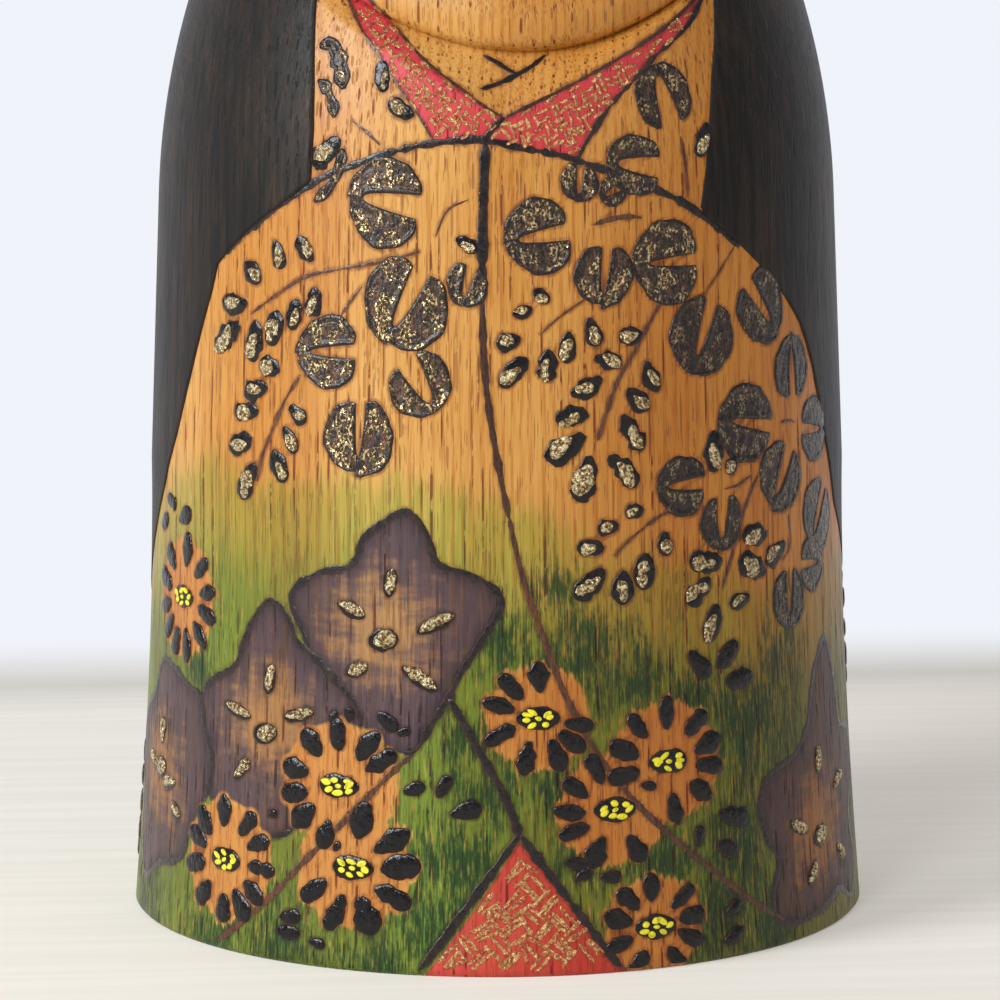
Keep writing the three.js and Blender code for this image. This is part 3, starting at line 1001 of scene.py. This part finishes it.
def grain(look):
    """Growth rings cut almost edge on: how much a place is early wood, its open pores, and its x."""
    x, y, _ = look.axes(look.place)
    across = look.total(x, PITH)
    depth = look.calc("SQRT", look.total(look.product(across, across), look.product(y, y)))
    sway = look.swing(look.noise((0.03, 0.03, 0.004), detail=2.0), 8.0)
    waver = look.swing(look.noise((0.35, 0.35, 0.03)), 1.4)
    ring = look.calc("FRACT", look.calc("DIVIDE", look.total(depth, sway, waver), RING))
    early = look.product(look.fade(ring, 0.0, 0.1), look.fade(ring, 0.5, 0.32))
    line = look.fade(look.cells((1.95, 1.95, 0.028)), 0.34, 0.24)
    broken = look.fade(look.noise((1.5, 1.5, 0.5), detail=4.0), 0.4, 0.5)
    vessels = look.product(line, broken, look.total(look.product(early, 0.45), 0.55))
    fine = look.product(look.fade(look.cells((3.6, 3.6, 0.2)), 0.26, 0.18), 0.4)
    return early, look.calc("MAXIMUM", vessels, fine), x


def bare_wood(look, early, fibre, x):
    """The wood before anything is painted on it, with painted shade that browns it on the side away from the
    window light.
    """
    patch = look.noise((0.05, 0.05, 0.012), detail=4.0)
    look.coat(look.mix(look.fade(patch, 0.3, 0.7), HONEY, AMBER))
    # Painted shade: the wood darkens and browns towards +x, the side the window light reaches least.
    look.stain(RIGHT_SIDE_SHADE, look.fade(x, -18.0, 34.0))
    look.stain(FIBRE_TINT, look.fade(fibre, 0.35, 0.75, 0.0, 0.7))
    look.stain(EARLY, early, look.fade(fibre, 0.35, 0.6, 0.3, 1.0))


def bare_mask(look):
    """1 where the green wash leaves the wood alone: round the flowers, on the bellflowers and the red."""
    edge = look.noise((1.5, 1.5, 0.3), detail=4.0, roughness=0.6)
    halo, bell, underskirt = [look.fade(look.ragged(name, (edge, size)), 0.3, -0.3)
                              for name, size in (("halo", 3.0), ("bell", 0.8), ("underskirt", 0.8))]
    return look.calc("MAXIMUM", look.calc("MAXIMUM", halo, bell), underskirt)


def green_wash(look, fibre, streak, daub):
    """The green stain from the hem up, yellower at its upper edge and dark in streaky patches."""
    below = look.ragged("wash", (streak, 7.0), (fibre, 4.0), (daub, 6.0))
    skipped = look.fade(look.noise((3.2, 3.2, 0.3)), 0.56, 0.7, 1.0, 0.45)
    amount = look.product(look.fade(below, -3.0, 2.5), skipped, look.calc("SUBTRACT", 1.0, bare_mask(look)))
    look.stain(PALE_GREEN, amount, look.fade(streak, 0.1, 0.9, 0.8, 1.0))
    look.stain(MID_GREEN, amount, look.fade(below, 2.0, 17.0))
    touch = look.noise((1.8, 1.8, 0.6), detail=4.0, roughness=0.7)
    dark = look.ragged("deep", (fibre, 2.4), (touch, 2.4), (daub, 2.2))
    look.stain(DARK_GREEN, amount, look.fade(dark, -0.2, 1.0))


def purple_wash(look, fibre, streak, daub):
    """The bellflowers' purple: dark along their outlines, worn away towards their hearts."""
    inside = look.product(look.fade(look.field("bell"), 0.2, -0.1), look.fade(look.field("halo"), -0.1, 0.4))
    brush = look.noise((0.25, 0.25, 0.8))
    outward = look.ragged("heart", (streak, 0.9), (brush, 0.9), (fibre, 0.5))
    brushed = look.product(inside, look.fade(outward, 0.1, 0.68, 0.42, 1.0),
                           look.fade(fibre, 0.3, 0.8, 1.0, 0.8))
    look.stain(PURPLE, brushed)
    look.coat(VIOLET, brushed, look.fade(daub, 0.35, 0.6, 0.1, 0.45))
    rim = look.ragged("bell", (streak, 2.4), (daub, 1.6))
    look.stain(DUSK, inside, look.fade(rim, -2.4, 0.2, 0.0, 0.8))


def red_wash(look, streak):
    """The red of the collar and the underskirt."""
    collar = look.fade(look.field("collar"), 0.12, -0.12)
    inside = look.calc("MAXIMUM", collar, look.fade(look.field("underskirt"), 0.12, -0.12))
    look.stain(RED, inside, look.fade(streak, 0.2, 0.9, 1.0, 0.85))
    look.coat(ROSE, collar, 0.6)


def wood_material(name):
    """Oiled ring-porous wood with the stains of the painted dress."""
    look = Look(name)
    fibre = look.noise((4.5, 4.5, 0.1))
    streak = look.noise((1.0, 1.0, 0.05), detail=4.0)
    daub = look.noise((0.28, 0.28, 0.14), detail=4.0, roughness=0.65)
    early, pores, x = grain(look)
    bare_wood(look, early, fibre, x)
    look.stain(TOASTED, look.fade(look.ragged("halo", (daub, 1.6)), 0.8, -0.8))
    green_wash(look, fibre, streak, daub)
    purple_wash(look, fibre, streak, daub)
    red_wash(look, streak)
    look.stain(SCORCH, look.fade(look.ragged("scorch", (daub, 0.5), (fibre, 0.5)), 0.42, 0.04, 0.0, 0.8))
    look.stain(PORE, pores, 0.9)
    look.relief(look.calc("SUBTRACT", look.product(fibre, 0.25), pores), 0.09)
    roughness = look.total(look.fade(streak, 0.2, 0.8, 0.34, 0.46), look.product(pores, 0.3))
    return look.finish(roughness, specular=0.36)


def hair_material():
    """Black stain that the grain shows through."""
    look = Look("black_hair_stain")
    fibre = look.noise((4.5, 4.5, 0.1))
    streak = look.noise((0.9, 0.9, 0.02), detail=4.0)
    early, pores, _ = grain(look)
    patch = look.noise((0.16, 0.16, 0.06), detail=5.0, roughness=0.65)
    look.coat(look.mix(look.fade(streak, 0.35, 0.75), HAIR_BLACK, tone(46, 34, 24)))
    look.coat(HAIR_BROWN, look.fade(patch, 0.48, 0.72, 0.0, 0.6))
    look.stain(HAIR_SHADE, look.fade(fibre, 0.3, 0.8, 0.0, 0.8))
    look.stain(HAIR_SHADE, early, 0.6)
    look.stain(HAIR_PORE, pores)
    look.relief(look.calc("SUBTRACT", look.product(fibre, 0.3), pores), 0.08)
    return look.finish(look.fade(fibre, 0.2, 0.8, 0.42, 0.56), specular=0.24)


def burned_material():
    """Charred and varnished lines; the lightly burned ones are brown."""
    look = Look("burned_wood")
    patch = look.noise((1.3, 1.3, 0.7))
    look.coat(look.mix(look.fade(patch, 0.45, 0.75), CHAR, tone(52, 31, 24)))
    look.coat(SINGED, look.fade(look.ragged("depth", (patch, 0.3)), 0.16, 0.03, 0.0, 0.7))
    worn = look.noise((3.4, 3.4, 0.5))
    look.coat(look.mix(look.fade(worn, 0.35, 0.65), tone(62, 36, 24), tone(104, 60, 34)), look.field("kind"))
    look.relief(look.noise((1.4, 1.4, 1.4)), 0.12)
    return look.finish(look.fade(patch, 0.3, 0.7, 0.18, 0.34), specular=0.4)


def leaf_material():
    """Black paint, thick round the edge of each lobe and thin inside it, with clumps of gold on top."""
    look = Look("leaf_paint")
    blot = look.noise((1.0, 1.0, 1.0))
    fibre = look.noise((3.4, 3.4, 0.7), detail=4.0, roughness=0.65)
    depth = look.ragged("depth", (blot, 1.5))
    look.coat(look.mix(look.fade(fibre, 0.35, 0.7), LEAF_BLACK, tone(36, 27, 26)))
    look.coat(THIN_BROWN, look.fade(depth, 0.3, 0.75), look.fade(fibre, 0.47, 0.62),
              look.fade(blot, 0.35, 0.55, 0.5, 1.0), look.field("kind"))
    look.coat(tone(84, 44, 26), look.fade(look.field("depth"), 0.14, 0.02, 0.0, 0.8))
    clumps = look.fade(look.noise((0.8, 0.8, 0.6), detail=2.0), 0.47, 0.57, 0.06, 1.0)
    fleck_and_glint_noise = look.noise((3.6, 3.6, 2.8), detail=4.0, roughness=0.7)
    gold = look.product(clumps, look.fade(fleck_and_glint_noise, 0.46, 0.53), look.fade(depth, 0.15, 0.5),
                        look.field("kind"))
    # Painted glints: the gold's flecks run from dull to nearly white, partly standing for sparkle.
    look.coat(look.mix(look.fade(fleck_and_glint_noise, 0.5, 0.62), tone(150, 114, 62), tone(248, 226, 172)), gold)
    rim = look.fade(look.field("depth"), 0.3, 0.9, 0.9, 0.0)
    look.relief(look.total(look.noise((1.5, 1.5, 1.2)), look.product(gold, 0.4), rim), 0.22)
    return look.finish(look.fade(blot, 0.3, 0.7, 0.18, 0.32), metallic=look.product(gold, 0.9), specular=0.4)


def black_material():
    """Thick glossy black paint."""
    look = Look("black_paint")
    patch = look.noise((1.0, 1.0, 1.0))
    look.coat(look.mix(look.fade(patch, 0.4, 0.75), PAINT_BLACK, tone(26, 21, 22)))
    look.coat(tone(70, 38, 24), look.fade(look.ragged("depth", (patch, 0.3)), 0.2, 0.02, 0.0, 0.85))
    look.relief(look.noise((1.4, 1.4, 0.9)), 0.2)
    return look.finish(look.fade(patch, 0.3, 0.7, 0.1, 0.22), specular=0.34)


def gold_material(name, bright, dull, under, wear):
    """Gold paint with bright and dull grains, partly the paint's own flecks and partly painted glints and
    painted shade; wear is how much has gone, and under is what shows there.
    """
    look = Look(name)
    grains = look.noise((2.8, 2.8, 2.8), detail=4.0, roughness=0.75)
    worn = look.noise((2.4, 2.4, 2.0), roughness=0.65)
    missing = look.fade(worn, 0.4 + 0.3 * wear, 0.32 + 0.3 * wear)
    # Painted glints and painted shade: the bright and dull grains stand partly for sparkle and dark
    # reflections on the metal.
    look.coat(look.mix(look.fade(grains, 0.43, 0.63), dull, bright))
    look.coat(under, missing)
    look.relief(look.total(grains, look.product(missing, -0.5)), 0.3)
    metallic = look.fade(missing, 0.0, 1.0, 0.9, 0.0)
    return look.finish(look.fade(grains, 0.3, 0.7, 0.42, 0.24), metallic=metallic)


def plain_paint(name, colour, darker, roughness):
    """Opaque paint laid on by brush."""
    look = Look(name)
    patch = look.noise((1.6, 1.6, 1.2))
    edge = look.fade(look.ragged("depth", (patch, 0.2)), 0.14, 0.02)
    look.coat(colour)
    look.coat(darker, look.calc("MAXIMUM", edge, look.fade(patch, 0.45, 0.75)))
    look.relief(look.noise((3.0, 3.0, 2.0), detail=2.0), 0.08)
    return look.finish(roughness)


def dowel_material():
    """Pale, close-grained wood of the hidden dowel."""
    look = Look("dowel_wood")
    fibre = look.noise((3.0, 3.0, 0.08))
    look.coat(look.mix(fibre, tone(212, 178, 128), tone(188, 148, 98)))
    look.relief(fibre, 0.05)
    return look.finish(0.6)


# ---- the studio

CAMERA_DISTANCE = 450.0
CAMERA_HEIGHT = 103.69
CAMERA_AZIMUTH = -4.5
CAMERA_PITCH = -6.95
CAMERA_YAW = 0.048
CAMERA_ROLL = -0.12
LENS = 132.35
ROOM = tone(146, 148, 154)
WALL_AHEAD = (0.3, 0.8)  # the room brightens into the wall between these shares of looking straight back
WALL = tone(240, 243, 250)
TABLE = tone(212, 206, 196)
PAINTED_TABLE_GLOW = 0.34  # painted light: a glow of the table's own, besides what the lamps here lay on it, that lightens its shadows


def place_camera():
    """The photograph's viewpoint, with the doll's front turned a little to the viewer's right."""
    camera = add_object("camera", bpy.data.cameras.new("camera"))
    camera.data.lens = LENS
    camera.data.clip_start = 0.01
    azimuth = math.radians(CAMERA_AZIMUTH)
    back = CAMERA_DISTANCE * MM
    turn = (Matrix.Rotation(azimuth - math.radians(CAMERA_YAW), 4, "Z")
            @ Matrix.Rotation(math.radians(90 + CAMERA_PITCH), 4, "X")
            @ Matrix.Rotation(math.radians(CAMERA_ROLL), 4, "Z"))
    place = (back * math.sin(azimuth), -back * math.cos(azimuth), CAMERA_HEIGHT * MM)
    camera.matrix_world = Matrix.Translation(place) @ turn
    bpy.context.scene.camera = camera


def soft_light(name, place, size, power, colour):
    """A round, even light that faces the middle of the doll."""
    light = add_object(name, bpy.data.lights.new(name, "AREA"))
    light.data.shape = "DISK"
    light.data.size = size
    light.data.energy = power
    light.data.color = colour
    light.location = place
    light.rotation_mode = "QUATERNION"
    light.rotation_quaternion = (Vector((0, 0, HEIGHT / 2 * MM)) - Vector(place)).to_track_quat("-Z", "Y")


def light_studio():
    """A dim pale room whose far wall is bright, and soft light from three windows."""
    world = bpy.data.worlds.new("studio")
    tree = Tree(world)
    ahead = tree.fade(tree.axes(tree.coordinates("Generated"))["Y"], *WALL_AHEAD, shape="LINEAR")
    tree.put(tree.nodes["Background"].inputs["Color"], tree.mix(ahead, ROOM, WALL))
    bpy.context.scene.world = world
    bpy.context.scene.view_settings.view_transform = "Standard"
    soft_light("window", (-0.82, -0.46, 0.5), 0.5, 10.2, (0.94, 0.98, 1.0))
    soft_light("sky", (-0.42, -0.84, 0.66), 0.26, 3.0, (0.8, 0.91, 1.0))
    soft_light("fill", (0.6, -0.8, 0.5), 0.9, 1.5, (1.0, 0.88, 0.74))


WALL_START = 120.0  # distance behind the doll at which the table turns into the blurred wall
WALL_FULL = 205.0
TABLE_REACH = 6.0  # metres, to each side of the doll


def lay_stage():
    """A pale table that runs out, a hand behind the doll, into the plain tone of the wall.

    The wall's part lies flat, so that it hides nothing in a view from behind.
    """
    corners = [(x * TABLE_REACH, y * TABLE_REACH, 0) for x, y in ((-1, -1), (1, -1), (1, 1), (-1, 1))]
    floor = mesh_object("floor", corners, [(0, 1, 2, 3)])
    look = Look("table_and_wall")
    wall = look.fade(look.axes(look.place)["Y"], WALL_START, WALL_FULL)
    streak = look.noise((0.012, 0.35, 1.0), detail=4.0)
    look.coat(look.mix(look.fade(streak, 0.3, 0.7), TABLE, tone(205, 198, 187)))
    look.coat((0, 0, 0, 1), wall)
    # Painted light: the table glows a little everywhere, which lightens the doll's shadow on it; the wall's
    # part glows fully as the plain backdrop.
    look.put(look.surface.inputs["Emission Color"], look.mix(wall, tone(235, 230, 221), WALL))
    look.put(look.surface.inputs["Emission Strength"], look.calc("MAXIMUM", wall, PAINTED_TABLE_GLOW))
    floor.data.materials.append(look.finish(0.8, specular=0.0))


# ---- the doll

burned = burned_material()
outlines = [make_burned_lines(burned), make_leaves(leaf_material()), make_black_touches(black_material()),
            make_face(burned, plain_paint("lip_paint", tone(176, 58, 48), tone(150, 44, 38), 0.4))]
# Each gold's first two tones, bright and dull, are partly painted glints and painted shade.
make_gold_touches(gold_material("gold_paint", tone(255, 238, 190), tone(104, 72, 36), tone(60, 38, 26),
                                wear=0.0))
make_yellow_dots(plain_paint("yellow_paint", tone(240, 222, 30), tone(170, 160, 20), 0.4))
make_brocade(gold_material("gold_thread_paint", tone(236, 198, 138), tone(164, 102, 60),
                           tone(168, 56, 46), wear=0.12))
scorched = np.concatenate(outlines)
dress(make_body_wood(scorched), "body_wood", wood_material("painted_wood"), "body")
dress(make_head_wood(scorched), "head_wood", wood_material("painted_head_wood"), "head")
dress(make_hair(), "black_hair", hair_material())

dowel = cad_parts["neck_dowel"]
dowel.data.materials.clear()
dowel.data.materials.append(dowel_material())

place_camera()
light_studio()
lay_stage()
